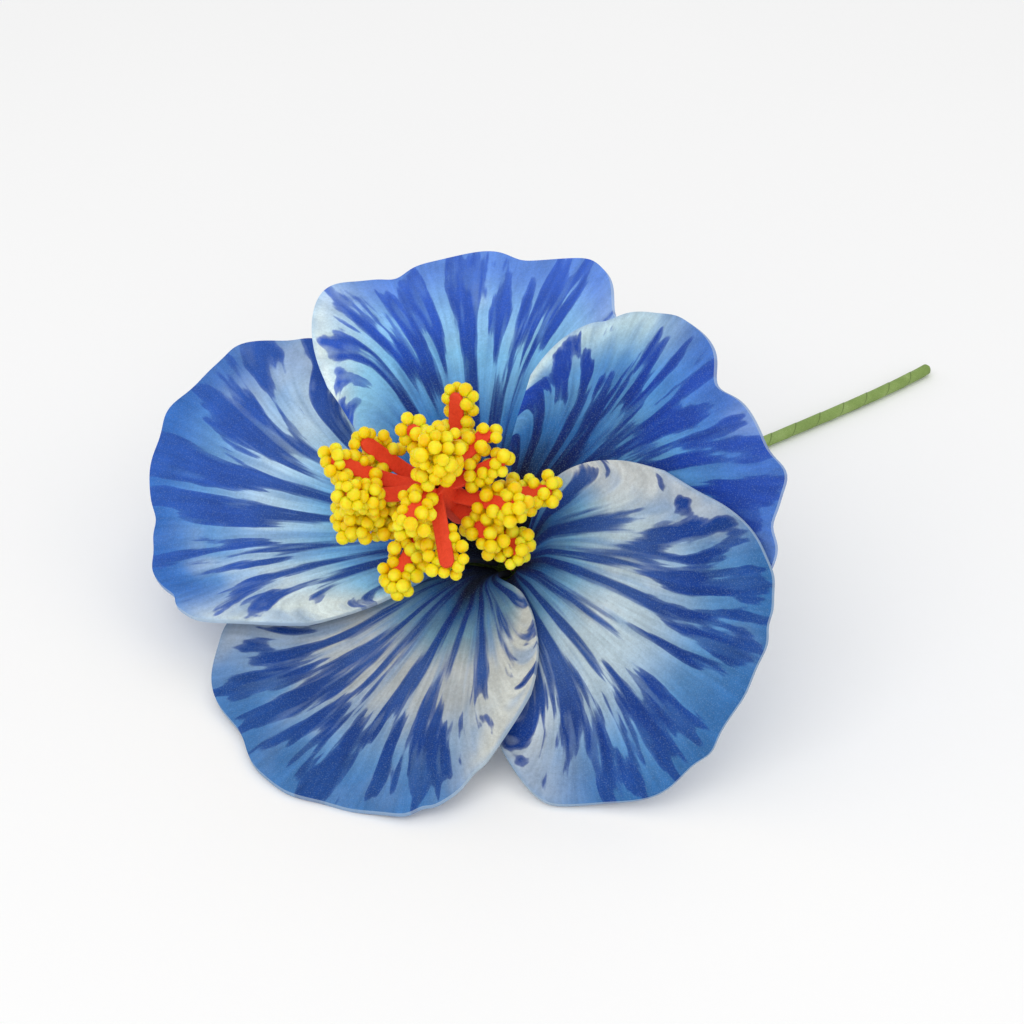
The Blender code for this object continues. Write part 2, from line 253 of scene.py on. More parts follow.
def material(name, roughness, specular=0.5, metallic=0.0):
    """A new material with its tree and its Principled shader's sockets."""
    made = bpy.data.materials.new(name)
    made.use_nodes = True
    tree = made.node_tree
    shader = tree.nodes["Principled BSDF"]
    shader.inputs["Roughness"].default_value = roughness
    shader.inputs["Specular IOR Level"].default_value = specular
    shader.inputs["Metallic"].default_value = metallic
    return made, tree, shader.inputs


def bump(tree, shader, height, distance, strength=1.0):
    """Feeds a height into the shader's normal."""
    made = add(tree, "Bump", {"Height": height, "Distance": distance, "Strength": strength})
    tree.links.new(made.outputs[0], shader["Normal"])


# ---------------------------------------------------------------- shared effects

def make_foam_grain():
    """Fine closed-cell grain of craft foam: a value for its colour and one for its surface."""
    tree, given, result = group("foam_grain", [("Fineness", "Float")],
                                [("Shade", "Float"), ("Height", "Float")])
    place = coordinates(tree, "Object")

    def grain(count, detail, roughness):
        return noise(tree, place, calc(tree, "MULTIPLY", given[0], count), detail, roughness)

    fine = grain(5200.0, 2.0, 0.6)
    cells = grain(1700.0, 2.0, 0.55)
    cloud = grain(160.0, 3.0, 0.55)
    shade = calc(tree, "MULTIPLY_ADD", fine, 0.5, calc(tree, "MULTIPLY", cells, 0.5))
    shade = calc(tree, "MULTIPLY_ADD", cloud, 0.45, calc(tree, "MULTIPLY", shade, 0.55))
    tree.links.new(shade, result[0])
    tree.links.new(calc(tree, "MULTIPLY_ADD", cells, 0.6, calc(tree, "MULTIPLY", fine, 0.4)),
                   result[1])
    return tree


def make_petal_dye_and_shade():
    """Dye on a petal, from its UV map: U runs from the trailing to the leading edge, V from base
    to rim. Dark flames fan out of the throat and bend to the sides, pale wedges open between
    them, the leading flank stays cream, the rim's middle is sprayed over the flames, and painted
    shade darkens the throat."""
    tree, given, result = group("petal_dye_and_shade", [
        ("UV", "Vector"), ("Seed", "Float"), ("ThroatSoakAndShade", "Float"), ("Spray", "Float"),
        ("Side", "Float"), ("Low", "Float"), ("Paleness", "Float"), ("Light", "Color"),
        ("Azure", "Color"), ("Flank", "Color"), ("Deep", "Color"), ("Rim", "Color")],
        [("Colour", "Color")])
    split = add(tree, "SeparateXYZ", {0: given["UV"]}).outputs
    side = calc(tree, "MULTIPLY_ADD", split[0], 2.0, -1.0)
    out = calc(tree, "POWER", split[1], BREADTH_POWER)
    seed = given["Seed"]

    # Across the petal, streaks keep one value while they bend towards the sides.
    bend = step(tree, out, 0.05, 1.05, 1.0, 0.54)
    across = calc(tree, "MULTIPLY", calc(tree, "SUBTRACT", side, 0.06), bend)

    def field(count, length, shift, detail):
        """Noise from -0.5 to 0.5 in streaks: their count across and along, and their detail."""
        spot = add(tree, "CombineXYZ", {
            0: calc(tree, "MULTIPLY", across, count),
            1: calc(tree, "MULTIPLY", out, length),
            2: calc(tree, "ADD", seed, shift)}).outputs[0]
        return calc(tree, "SUBTRACT", noise(tree, spot, 1.0, detail, 0.5), 0.5)

    def scaled(value, share, base):
        return calc(tree, "MULTIPLY_ADD", value, share, base)

    drift = field(2.6, 1.2, 3.0, 1.0)
    wedges = field(6.8, 1.6, 11.0, 1.0)
    slits = field(21.0, 3.0, 17.0, 1.5)
    feather = field(46.0, 6.5, 23.0, 2.0)
    low_down = step(tree, out, 0.70, 0.46)
    high_up = step(tree, out, 0.40, 0.68, 0.45, 1.0)

    def wave(count, wander, shift):
        """Even streaks from -1 to 1 that wander to the sides."""
        place = scaled(across, count, scaled(drift, wander, scaled(seed, shift, 0.0)))
        return calc(tree, "SINE", calc(tree, "MULTIPLY", place, math.tau))

    # Few broad flames leave the throat, and more and narrower ones reach the rim.
    flames = scaled(calc(tree, "MULTIPLY", wave(5.8, 1.3, 1.0), low_down), 0.13, 0.5)
    flames = scaled(calc(tree, "MULTIPLY", wave(8.4, 1.7, 1.7), high_up), 0.075, flames)
    flames = scaled(wedges, 0.56, flames)
    flames = scaled(calc(tree, "MULTIPLY", slits, high_up), 1.0, flames)
    flames = scaled(calc(tree, "MULTIPLY", feather, high_up), 0.42, flames)

    # How much of the petal stays pale, from base to rim, and more so on the leading flank.
    pale = ramp(tree, out, (0.0, level(0.40)), (0.16, level(0.46)), (0.28, level(0.49)),
                (0.44, level(0.495)), (0.56, level(0.478)), (0.68, level(0.450)),
                (0.82, level(0.452)), (0.92, level(0.48)), (1.0, level(0.60)))
    leading = step(tree, calc(tree, "SUBTRACT", side, given["Side"]), 0.0, 0.36)
    reached = step(tree, calc(tree, "SUBTRACT", out, given["Low"]), 0.0, 0.28, 0.1, 1.0)
    leading = calc(tree, "MULTIPLY", leading, reached)
    trailing = step(tree, side, -0.42, -0.88)
    pale = scaled(leading, 0.125, pale)
    pale = calc(tree, "ADD", scaled(trailing, 0.075, pale), given["Paleness"])
    margin = calc(tree, "SUBTRACT", flames, pale)
    softness = step(tree, out, 0.30, 0.64, 0.075, 0.026)
    flame = step(tree, margin, calc(tree, "MULTIPLY", softness, -1.0), softness)
    heart = step(tree, margin, -0.01, 0.12)

    ground = blend(tree, step(tree, out, 0.56, 0.84), given["Light"], given["Azure"])
    flank = calc(tree, "MAXIMUM", leading, calc(tree, "MULTIPLY", trailing, 0.7))
    flank = calc(tree, "MULTIPLY", flank, step(tree, out, 1.03, 0.95, 0.50, 1.0))
    ground = blend(tree, flank, ground, given["Flank"])

    # Thin washes of blue and cream drift along the streaks between the flames.
    wash = step(tree, field(13.0, 2.2, 41.0, 2.0), -0.02, 0.20, 0.0, 0.50)
    ground = blend(tree, wash, ground, rgb(96, 142, 196))
    cream = step(tree, field(5.0, 3.0, 53.0, 2.0), 0.02, 0.20, 0.0, 0.50)
    ground = blend(tree, cream, ground, given["Flank"])

    stain = blend(tree, step(tree, out, 0.45, 0.78), rgb(52, 84, 150), given["Deep"])
    soft = blend(tree, 0.26, stain, ground)
    stain = blend(tree, heart, soft, stain)
    faint = step(tree, field(30.0, 4.0, 67.0, 1.0), 0.06, 0.22, 0.0, 0.30)
    stain = blend(tree, faint, stain, ground)
    colour = blend(tree, flame, ground, stain)

    # The throat darkens, partly dye soaked into the foam and partly painted shade deep in the
    # funnel: teal that lets the flames through, then navy, then nearly black.
    soak_and_shade = calc(tree, "DIVIDE", scaled(drift, 0.25, out), given["ThroatSoakAndShade"])
    tint = ramp(tree, soak_and_shade, (0.0, rgb(6, 10, 26)), (0.09, rgb(10, 34, 74)),
                (0.19, rgb(66, 128, 190)), (0.31, rgb(160, 208, 240)), (0.46, level(1.0)))
    colour = blend(tree, 1.0, colour, tint, "MULTIPLY")

    # The spray fades in towards the rim, away from the flanks, and covers the flames' tips.
    middle = calc(tree, "SUBTRACT", 1.0, leading)
    middle = calc(tree, "MULTIPLY", middle, step(tree, side, -0.96, -0.52))
    spray = step(tree, scaled(drift, 0.22, out), 0.74, 0.97)
    spray = calc(tree, "MULTIPLY", calc(tree, "MULTIPLY", spray, middle), given["Spray"])
    tint = blend(tree, calc(tree, "MULTIPLY", flame, 0.78), given["Rim"], given["Deep"])
    colour = blend(tree, spray, colour, tint)

    # Fine brush marks run along the streaks.
    brushed = scaled(field(64.0, 4.0, 71.0, 2.0), 0.55, 1.0)
    tree.links.new(scaled_by(tree, colour, brushed), result["Colour"])
    return tree


# ---------------------------------------------------------------- materials

FOAM_SHADES = (0.36, 0.64, 0.86, 1.14)      # range of the grain, and the shades it gives


def dyed_foam(name, roughness, fineness, grain, dye, settings):
    """A foam material with its tree, its shader's sockets, its dye's colour and its grain."""
    made, tree, shader = material(name, roughness, specular=0.12)
    dyed = use(tree, dye, {"UV": coordinates(tree, "UV"), **settings})
    return made, tree, shader, dyed["Colour"], use(tree, grain, {0: fineness})


def petal_front(name, *shared):
    """The dyed side, with fine pale specks of painted sparkle, glints put into the colour, in the
    grain of the foam.
    """
    made, tree, shader, dyed, grains = dyed_foam(name, 0.62, 1.0, *shared)
    colour = scaled_by(tree, dyed, step(tree, grains["Shade"], *FOAM_SHADES))
    # Painted sparkle: sparse pale specks that stand for glints in the foam's grain.
    painted_sparkle = noise(tree, coordinates(tree, "Object"), 5600.0, 1.0)
    painted_sparkle = step(tree, painted_sparkle, 0.50, 0.76, 0.0, 0.13)
    tree.links.new(blend(tree, painted_sparkle, colour, rgb(176, 206, 232)), shader["Base Color"])
    tree.links.new(step(tree, grains["Height"], 0.3, 0.7, 0.55, 0.78), shader["Roughness"])
    bump(tree, shader, grains["Height"], 0.00006, 0.8)
    return made


def petal_back(name, *shared):
    """The dye soaks through to the back as a paler, softer picture of the front."""
    made, tree, shader, dyed, grains = dyed_foam(name, 0.75, 1.0, *shared)
    colour = blend(tree, 0.42, dyed, rgb(206, 220, 232))
    shade = step(tree, grains["Shade"], *FOAM_SHADES)
    tree.links.new(scaled_by(tree, colour, shade), shader["Base Color"])
    bump(tree, shader, grains["Height"], 0.00006, 0.8)
    return made


def petal_edge(name, *shared):
    """The cut edge of the foam takes little dye."""
    made, tree, shader, dyed, grains = dyed_foam(name, 0.8, 1.6, *shared)
    run = add(tree, "SeparateXYZ", {0: coordinates(tree, "UV")}).outputs[1]
    bare = step(tree, run, 0.35, 0.70, 0.05, 0.34)
    tree.links.new(blend(tree, bare, dyed, rgb(214, 232, 238)), shader["Base Color"])
    bump(tree, shader, grains["Height"], 0.00008, 1.0)
    return made


def red_foam(grain):
    made, tree, shader = material("red_foam", 0.72, specular=0.3)
    grains = use(tree, grain, {0: 1.3})
    colour = ramp(tree, grains["Shade"], (0.30, rgb(212, 54, 22)), (0.52, rgb(236, 74, 42)),
                  (0.72, rgb(246, 92, 62)))
    tree.links.new(colour, shader["Base Color"])
    bump(tree, shader, grains["Height"], 0.00008, 0.9)
    return made


def yellow_beads():
    """Satin plastic that is a little deeper in colour here and there."""
    made, tree, shader = material("yellow_beads", 0.38, specular=0.3)
    shader["Subsurface Weight"].default_value = 0.75
    shader["Subsurface Radius"].default_value = (1.0, 0.50, 0.05)
    shader["Subsurface Scale"].default_value = 0.0018
    place = coordinates(tree, "Object")
    patch = noise(tree, place, 420.0, 2.0)
    fine = noise(tree, place, 3800.0, 2.0)
    colour = ramp(tree, patch, (0.30, rgb(255, 202, 2)), (0.50, rgb(255, 219, 8)),
                  (0.70, rgb(255, 237, 52)))
    tree.links.new(colour, shader["Base Color"])
    tree.links.new(step(tree, fine, 0.3, 0.7, 0.32, 0.50), shader["Roughness"])
    bump(tree, shader, fine, 0.00003, 0.5)
    return made


def calyx_green(grain):
    """Green foam with faint veins and paler tips."""
    made, tree, shader = material("calyx_green", 0.7, specular=0.3)
    spot = coordinates(tree, "UV")
    split = add(tree, "SeparateXYZ", {0: spot}).outputs
    veins = calc(tree, "SINE", calc(tree, "MULTIPLY", split[0], VEINS * math.tau))
    grains = use(tree, grain, {0: 1.0})
    value = calc(tree, "MULTIPLY_ADD", veins, 0.10, grains["Shade"])
    colour = ramp(tree, value, (0.30, rgb(78, 104, 44)), (0.52, rgb(112, 138, 64)),
                  (0.74, rgb(150, 172, 92)))
    pale_tip = step(tree, split[1], 0.80, 1.0, 0.0, 0.45)
    tree.links.new(blend(tree, pale_tip, colour, rgb(176, 192, 118)), shader["Base Color"])
    height = calc(tree, "MULTIPLY_ADD", veins, 0.5, grains["Height"])
    bump(tree, shader, height, 0.00008, 0.8)
    return made


def floral_tape():
    """Waxed crepe paper tape: fine creases along it and a darker line where it laps."""
    made, tree, shader = material("floral_tape", 0.58, specular=0.38)
    spot = coordinates(tree, "UV")
    place = coordinates(tree, "Object")
    split = add(tree, "SeparateXYZ", {0: spot}).outputs
    lap = calc(tree, "FRACT", calc(tree, "ADD", split[0], split[1]))
    creases = calc(tree, "MULTIPLY_ADD", split[0], 3.0, calc(tree, "MULTIPLY", split[1], 3.0))
    spot = add(tree, "CombineXYZ", {0: calc(tree, "MULTIPLY", creases, 1.3),
                                    1: calc(tree, "MULTIPLY", split[0], 26.0)}).outputs[0]
    crepe = noise(tree, spot, 3.0, 3.0, 0.6)
    cloud = noise(tree, place, 260.0, 3.0)
    value = calc(tree, "MULTIPLY_ADD", crepe, 0.55, calc(tree, "MULTIPLY", cloud, 0.45))
    colour = ramp(tree, value, (0.32, rgb(112, 138, 64)), (0.50, rgb(134, 160, 84)),
                  (0.70, rgb(160, 184, 112)))
    line = calc(tree, "MULTIPLY", step(tree, lap, 0.0, 0.05), step(tree, lap, 1.0, 0.97))
    colour = blend(tree, line, rgb(92, 112, 52), colour)
    tree.links.new(colour, shader["Base Color"])
    bump(tree, shader, value, 0.00009, 0.9)
    return made


def steel_wire():
    made, tree, shader = material("steel_wire", 0.35, metallic=1.0)
    place = coordinates(tree, "Object")
    drawn = noise(tree, place, 2600.0, 3.0)
    tree.links.new(ramp(tree, drawn, (0.3, rgb(150, 152, 154)), (0.7, rgb(190, 192, 194))),
                   shader["Base Color"])
    tree.links.new(step(tree, drawn, 0.3, 0.7, 0.28, 0.45), shader["Roughness"])
    bump(tree, shader, drawn, 0.00002, 0.5)
    return made


def pale_floor():
    made, tree, shader = material("pale_floor", 0.9, specular=0.1)
    place = coordinates(tree, "Object")
    cloud = noise(tree, place, 6.0, 2.0)
    tree.links.new(ramp(tree, cloud, (0.3, level(0.985)), (0.7, level(0.995))),
                   shader["Base Color"])
    return made


# ---------------------------------------------------------------- modelling helpers

def deselect():
    if bpy.context.object and bpy.context.object.mode != "OBJECT":
        bpy.ops.object.mode_set(mode="OBJECT")
    bpy.ops.object.select_all(action="DESELECT")


def select(*pieces):
    """Selects these pieces alone and makes the first one active."""
    deselect()
    for piece in pieces:
        piece.select_set(True)
    bpy.context.view_layer.objects.active = pieces[0]


def edit(piece):
    """Edit mode on this piece alone, with all of it selected."""
    select(piece)
    bpy.ops.object.mode_set(mode="EDIT")
    bpy.ops.mesh.select_all(action="SELECT")


def shaped_grid(name, across, along, shape, matrix=None, flip=False, weld=False):
    """A flat grid bent into a piece. shape(side, run) gives a point for side -1..1, run 0..1.
    weld closes its seams and poles, flip turns its faces over."""
    deselect()
    bpy.ops.mesh.primitive_grid_add(x_subdivisions=across, y_subdivisions=along, size=2)
    piece = bpy.context.object
    piece.name = piece.data.name = name
    flat = np.empty(len(piece.data.vertices) * 3, np.float32)
    piece.data.vertices.foreach_get("co", flat)
    side, up = flat.reshape(-1, 3)[:, :2].T.astype(float)
    points = shape(np.clip(side, -1, 1), np.clip((up + 1) / 2, 0, 1))
    if matrix is not None:
        turn = np.array(matrix)
        points = points @ turn[:3, :3].T + turn[:3, 3]
    piece.data.vertices.foreach_set("co", points.astype(np.float32).ravel())
    piece.data.update()
    edit(piece)
    if weld:
        bpy.ops.mesh.remove_doubles(threshold=1e-6)
    if flip:
        bpy.ops.mesh.flip_normals()
    bpy.ops.object.mode_set(mode="OBJECT")
    return piece


def modify(piece, kind, **settings):
    """Adds a modifier and applies it."""
    select(piece)
    made = piece.modifiers.new(kind.lower(), kind)
    for name, value in settings.items():
        setattr(made, name, value)
    bpy.ops.object.modifier_apply(modifier=made.name)


def soften(piece, width, angle):
    """Rounds the edges that are sharper than the angle."""
    modify(piece, "BEVEL", width=width, segments=2, limit_method="ANGLE",
           angle_limit=math.radians(angle))


def smooth_shade(piece, angle=50):
    select(piece)
    bpy.ops.object.shade_smooth_by_angle(angle=math.radians(angle))


def coat(piece, finishes):
    """Gives the piece these materials in place of its own."""
    piece.data.materials.clear()
    for one in finishes:
        piece.data.materials.append(one)


def finish(piece, slot, *nodes):
    """Attaches a piece to the root body and hides the CAD nodes that it stands for. Its slot is not
    used.
    """
    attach(piece, "root")
    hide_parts(*nodes)


def smooth(value, low, high):
    """0 below low, 1 above high, and an even curve between them."""
    t = np.clip((value - low) / (high - low), 0.0, 1.0)
    return t * t * (3.0 - 2.0 * t)


# ---------------------------------------------------------------- petals

def funnel(radius, angle):
    """Height and slope of the corolla's common surface at a radius and an angle."""
    depth = radius - CLAW_RADIUS
    fade = np.exp(-depth / FUNNEL_SCALE)
    slope = curl = total = 0.0
    for petal in PETALS.values():
        away = (angle - petal["angle"] + 180.0) % 360.0 - 180.0
        weight = np.where(abs(away) < 80.0, np.cos(np.radians(away * 90.0 / 80.0)) ** 2, 0.0)
        slope = slope + petal["slope"] * weight
        curl = curl + petal["curl"] * weight
        total = total + weight
    slope, curl = slope / total, curl / total / CURL_LENGTH
    height = FUNNEL_RISE * (1.0 - fade) + slope * depth + curl * depth ** 2
    return height, FUNNEL_RISE / FUNNEL_SCALE * fade + slope + 2.0 * curl * depth


def off_funnel(radius, angle, offset):
    """Points at an offset from the funnel, measured along its normal towards the pistil."""
    height, slope = funnel(radius, angle)
    across = 1.0 / np.sqrt(1.0 + slope ** 2)
    out = radius - offset * across * slope
    turn = np.radians(angle)
    return np.stack([out * np.cos(turn), out * np.sin(turn), height + offset * across], -1)


def petal_shape(petal, scallops):
    """The petal's middle surface as a function of side and run, with faint ribs."""
    def shape(side, run):
        wave = np.sin(9 * side + petal["phase"])
        fine = np.sin(17 * side + 2 * petal["phase"])
        rim = petal["reach"] * (1 - CORNER_ROUNDING * abs(side) ** 4.5) * (1 + petal["skew"] * side)
        rim = rim * (1 + 0.012 * wave + 0.006 * fine)
        for place, height, width in scallops:
            rim = rim * (1 + height * np.exp(-((side - place) / width) ** 2))
        radius = CLAW_RADIUS + (rim - CLAW_RADIUS) * run ** BREADTH_POWER
        opening = smooth(radius, CLAW_RADIUS, FULL_SPREAD_RADIUS)
        low_down = smooth(radius, CLAW_RADIUS, 0.015) * (1 - smooth(radius, 0.015, 0.045))
        trailing = CLAW_SPREAD + (petal["trailing"] - CLAW_SPREAD) * opening
        leading = CLAW_SPREAD + (petal["leading"] - CLAW_SPREAD) * opening
        leading = leading + petal["bulge"] * low_down
        middle = petal["base"] + (petal["angle"] - petal["base"]) * opening
        angle = middle + side * (trailing + (leading - trailing) * (1 + side) / 2)
        tilt = TILT_AT_CLAW + (TILT_AT_RIM - TILT_AT_CLAW) * smooth(radius, CLAW_RADIUS, 0.012)
        outer = smooth(radius, 0.015, 0.057)
        offset = tilt * side + petal["lift"] * outer * smooth(side, 0.35, 1.0)
        offset = offset - petal["drop"] * outer * smooth(-side, 0.2, 1.0)
        offset = offset + petal["arch"] * smooth(radius, 0.020, 0.060) * (1 - side ** 2)
        offset = offset + RUFFLE * wave * smooth(run, 0.6, 1.0)
        ribs = np.cos(RIBS * side * (1 - 0.44 * smooth(run, 0.02, 1)) + 3 * petal["phase"])
        fade = smooth(run, 0.15, 0.5) * (1 - smooth(run, 0.85, 1.0))
        offset = offset + RIB_HEIGHT * ribs * fade
        return off_funnel(radius, angle, offset)
    return shape


# Dye of each petal, with painted shade at its throat. Seed: shift of its pattern, Throat: reach
# of the soaked throat and of the painted shade deep in the funnel, Spray: strength of the spray,
# Side and Low: where the pale leading flank starts across the petal and from base to rim,
# Paleness: how much paler the whole petal is, and the colours of its pale wedges, of the slits
# between flames, of its flanks, of the flames' outer ends and of its rim
DYES_AND_SHADE = {
    "petal_top": dict(
        Seed=2.7, ThroatSoakAndShade=2.05, Spray=0.72, Side=0.50, Low=0.22, Paleness=0.014,
        Light=rgb(200, 230, 246), Azure=rgb(158, 206, 248), Flank=rgb(226, 242, 242),
        Deep=rgb(54, 94, 194), Rim=rgb(52, 100, 212)),
    "petal_left": dict(
        Seed=7.3, ThroatSoakAndShade=1.35, Spray=0.9, Side=0.50, Low=0.22, Paleness=-0.004,
        Light=rgb(188, 215, 234), Azure=rgb(104, 158, 218), Flank=rgb(213, 226, 226),
        Deep=rgb(42, 82, 170), Rim=rgb(48, 104, 188)),
    "petal_lower_left": dict(
        Seed=12.9, ThroatSoakAndShade=0.90, Spray=0.8, Side=0.50, Low=0.22, Paleness=0.0,
        Light=rgb(174, 181, 185), Azure=rgb(104, 150, 198), Flank=rgb(200, 204, 199),
        Deep=rgb(22, 62, 138), Rim=rgb(52, 110, 176)),
    "petal_lower_right": dict(
        Seed=19.4, ThroatSoakAndShade=0.98, Spray=0.9, Side=0.58, Low=0.22, Paleness=-0.008,
        Light=rgb(180, 200, 212), Azure=rgb(90, 142, 194), Flank=rgb(200, 206, 208),
        Deep=rgb(18, 58, 138), Rim=rgb(46, 102, 164)),
    "petal_upper_right": dict(
        Seed=26.1, ThroatSoakAndShade=2.35, Spray=0.60, Side=0.14, Low=0.66, Paleness=-0.006,
        Light=rgb(172, 204, 226), Azure=rgb(110, 160, 220), Flank=rgb(222, 238, 238),
        Deep=rgb(42, 78, 172), Rim=rgb(44, 86, 190)),
}

# Shallow scallops of each cut rim: place across the petal, height as a share of its length, width
SCALLOPS = {
    "petal_top": ((-0.70, -0.060, 0.08), (-0.46, 0.018, 0.10), (-0.08, -0.014, 0.08),
                  (0.45, -0.030, 0.06), (0.70, 0.050, 0.12)),
    "petal_left": ((-0.78, -0.028, 0.06), (-0.64, 0.018, 0.06), (-0.30, 0.045, 0.10),
                   (0.17, -0.014, 0.06), (0.42, 0.030, 0.09), (0.58, -0.020, 0.05),
                   (0.76, 0.020, 0.06)),
    "petal_lower_left": ((-0.86, 0.030, 0.08), (-0.34, -0.026, 0.12), (-0.02, 0.024, 0.12),
                         (0.26, 0.022, 0.12), (0.54, -0.014, 0.04), (0.77, -0.022, 0.05)),
    "petal_lower_right": ((-0.82, 0.022, 0.08), (-0.14, 0.016, 0.06), (0.12, 0.021, 0.10),
                          (0.38, -0.014, 0.05), (0.56, 0.012, 0.06)),
    "petal_upper_right": ((-0.48, -0.028, 0.05), (-0.33, 0.042, 0.06), (0.03, -0.045, 0.07),
                          (0.38, 0.013, 0.08), (0.69, -0.018, 0.05)),
}


def make_petals(grain):
    dye = make_petal_dye_and_shade()
    for name, petal in PETALS.items():
        shared = grain, dye, DYES_AND_SHADE[name]
        finishes = [petal_front(name + "_front", *shared), petal_back(name + "_back", *shared),
                    petal_edge(name + "_edge", *shared)]
        piece = shaped_grid("foam_" + name, 150, 100, petal_shape(petal, SCALLOPS[name]), AXIS,
                            flip=True)
        coat(piece, finishes)
        modify(piece, "SOLIDIFY", thickness=FOAM, offset=0.0, use_even_offset=True,
               material_offset=1, material_offset_rim=2)
        soften(piece, 0.00022, 55)
        smooth_shade(piece)
        finish(piece, "petal_foam", name)


# ---------------------------------------------------------------- calyx

def calyx_shape(side, run):
    """The cup's middle surface: side runs round it, run from its neck to the sepals' tips."""
    angle = (side + 1) * 180.0
    point = (0.5 + 0.5 * np.cos(np.radians(SEPALS * (angle - SEPAL_ANGLE)))) ** 1.5
    rim = SEPAL_NOTCH + (SEPAL_TIP - SEPAL_NOTCH) * point
    first = off_funnel(np.full_like(side, SEPAL_BASE), angle, -CALYX_CLEAR)
    first_radius = np.hypot(first[:, 0], first[:, 1])
    cup = np.empty_like(first)
    turn = np.radians(angle)
    for i in range(len(side)):
        radius = np.interp(run[i], CUP_RUNS, (*CUP_RADII, first_radius[i]))
        height = np.interp(run[i], CUP_RUNS, (*CUP_HEIGHTS, first[i, 2]))
        cup[i] = radius * math.cos(turn[i]), radius * math.sin(turn[i]), height
    begin = CUP_RUNS[-1]
    outward = np.clip((run - begin) / (1 - begin), 0, 1)
    sepals = off_funnel(SEPAL_BASE + (rim - SEPAL_BASE) * outward, angle, -CALYX_CLEAR)
    return np.where((run > begin)[:, None], sepals, cup)


def make_calyx(grain):
    piece = shaped_grid("green_calyx", 160, 44, calyx_shape, AXIS, weld=True)
    modify(piece, "SOLIDIFY", thickness=SEPAL_THICKNESS, offset=0.0, use_even_offset=True)
    soften(piece, 0.0002, 55)
    smooth_shade(piece)
    coat(piece, [calyx_green(grain)])
    finish(piece, "calyx_green", "calyx")


# ---------------------------------------------------------------- pistil

def roll_shape(inner, outer, low, high, start):
    """A foam sheet rolled up from the radius inner to outer, between two heights."""
    turns = (outer - inner) / FOAM

    def shape(side, run):
        wound = (side + 1) / 2
        turn = math.tau * (turns * wound + start)
        radius = inner + (outer - inner) * wound
        return np.stack([radius * np.cos(turn), radius * np.sin(turn),
                         low + (high - low) * run], -1)
    return shape


def make_column(red):
    """A thin roll all the way up, and more turns of foam round its head."""
    thin = roll_shape(ROLL_EYE, COLUMN_RADIUS - FOAM / 2, COLUMN_FOOT, CORE_TOP, 0.0)
    thick = roll_shape(COLUMN_RADIUS, HEAD_RADIUS - FOAM / 2 + WRAP_PROUD, HUB - 6 * TIER,
                       WRAP_TOP, WRAP_START)
    core = shaped_grid("column_core", 72, 40, thin, PISTIL)
    wrap = shaped_grid("column_wrap", 96, 20, thick, PISTIL)
    for piece in (core, wrap):
        modify(piece, "SOLIDIFY", thickness=ROLL_LAYER, offset=0.0)
        soften(piece, 0.00015, 60)
    select(core, wrap)
    bpy.ops.object.join()
    core.name = core.data.name = "rolled_column"
    smooth_shade(core)
    coat(core, [red])
    finish(core, "pistil_foam", "pistil_column")


def filament_path(filament, run):
    """Middle line of a filament: radius, height and heading in its own upright plane."""
    reach, rise, tier = filament[1:4]
    if tier < 0:
        foot, lead = Vector((TOP_FOOT_RADIUS, HUB + TOP_FOOT_RISE)), Vector((0.0, 1.0))
    else:
        foot, lead = Vector((HEAD_RADIUS - FOOT_SINK, HUB - tier * TIER)), Vector((1.0, 0.0))
    tip = Vector((reach, HUB + rise))
    bend = foot + lead * (tip - foot).length * 0.35
    point = foot.lerp(bend, run).lerp(bend.lerp(tip, run), run)
    heading = (bend.lerp(tip, run) - foot.lerp(bend, run)).normalized()
    return point, heading


def filament_frame(filament, run):
    """Centre, heading, sideways and front directions in the pistil's frame."""
    point, heading = filament_path(filament, run)
    turn = math.radians(filament[0])
    out = Vector((math.cos(turn), math.sin(turn), 0))
    up = Vector((0, 0, 1))
    sideways = Vector((-math.sin(turn), math.cos(turn), 0))
    centre = out * point[0] + up * point[1]
    ahead = out * heading[0] + up * heading[1]
    return centre, ahead, sideways, ahead.cross(sideways).normalized()


def strip_shape(filament):
    """The middle surface of a foam strip with rounded corners at its tip."""
    def shape(side, run):
        points = np.empty((len(side), 3))
        for i in range(len(side)):
            centre, ahead, sideways, front = filament_frame(filament, run[i])
            past = max(0.0, (run[i] - 1 + STRIP_ROUNDING) / STRIP_ROUNDING)
            corner = math.sqrt(max(0.0, 1 - past ** 2 * 0.75))
            crown = STRIP_CROWN * (1 - side[i] ** 2)
            points[i] = centre + sideways * side[i] * STRIP_WIDTH / 2 * corner + front * crown
        return points
    return shape


class SeededDice:
    """The few random draws that the beads need, the same on each run."""

    def __init__(self, seed):
        self.source = np.random.default_rng(seed)

    def uniform(self, low, high):
        return float(self.source.uniform(low, high))

    def random(self):
        return float(self.source.random())

    def choice(self, options):
        return options[int(self.source.integers(len(options)))]


def bead_places(filament, others, dice):
    """Centres and radii of the beads glued round a filament's tip, clear of other beads."""
    style, begin = filament[4:]
    placed = []
    for layer in BEAD_LAYERS[style]:
        for _ in range(BEAD_TRIES):
            run = dice.uniform(begin, 1 + PAST_TIP)
            theta = dice.uniform(0, math.tau)
            radius = BEAD_RADIUS * dice.choice(BEAD_SIZES)
            across, forward = math.cos(theta), math.sin(theta)
            if style == "behind" and forward > 0.12:
                continue
            if style == "edges" and forward > 0.35 and dice.random() < 0.8:
                continue
            open_middle = style in ("ring", "thick") and forward > 0.72 and 0.68 < run < 0.92
            if open_middle or (layer and style == "ring" and forward > 0.4):
                continue
            centre, ahead, sideways, front = filament_frame(filament, min(run, 1.0))
            beyond = max(0.0, run - 1.0) / PAST_TIP
            grow = BEAD_STAND * radius + layer * LAYER_HEIGHT
            spot = centre + ahead * beyond * radius * 0.7
            spot += sideways * across * (STRIP_WIDTH / 2 * (1 - 0.5 * beyond) + grow)
            spot += front * forward * (STRIP_THICKNESS / 2 + grow + 0.0002)
            clear = all((spot - other).length > BEAD_SPACING * (radius + size)
                        for other, size in others + placed)
            if clear:
                placed.append((spot, radius))
    return placed


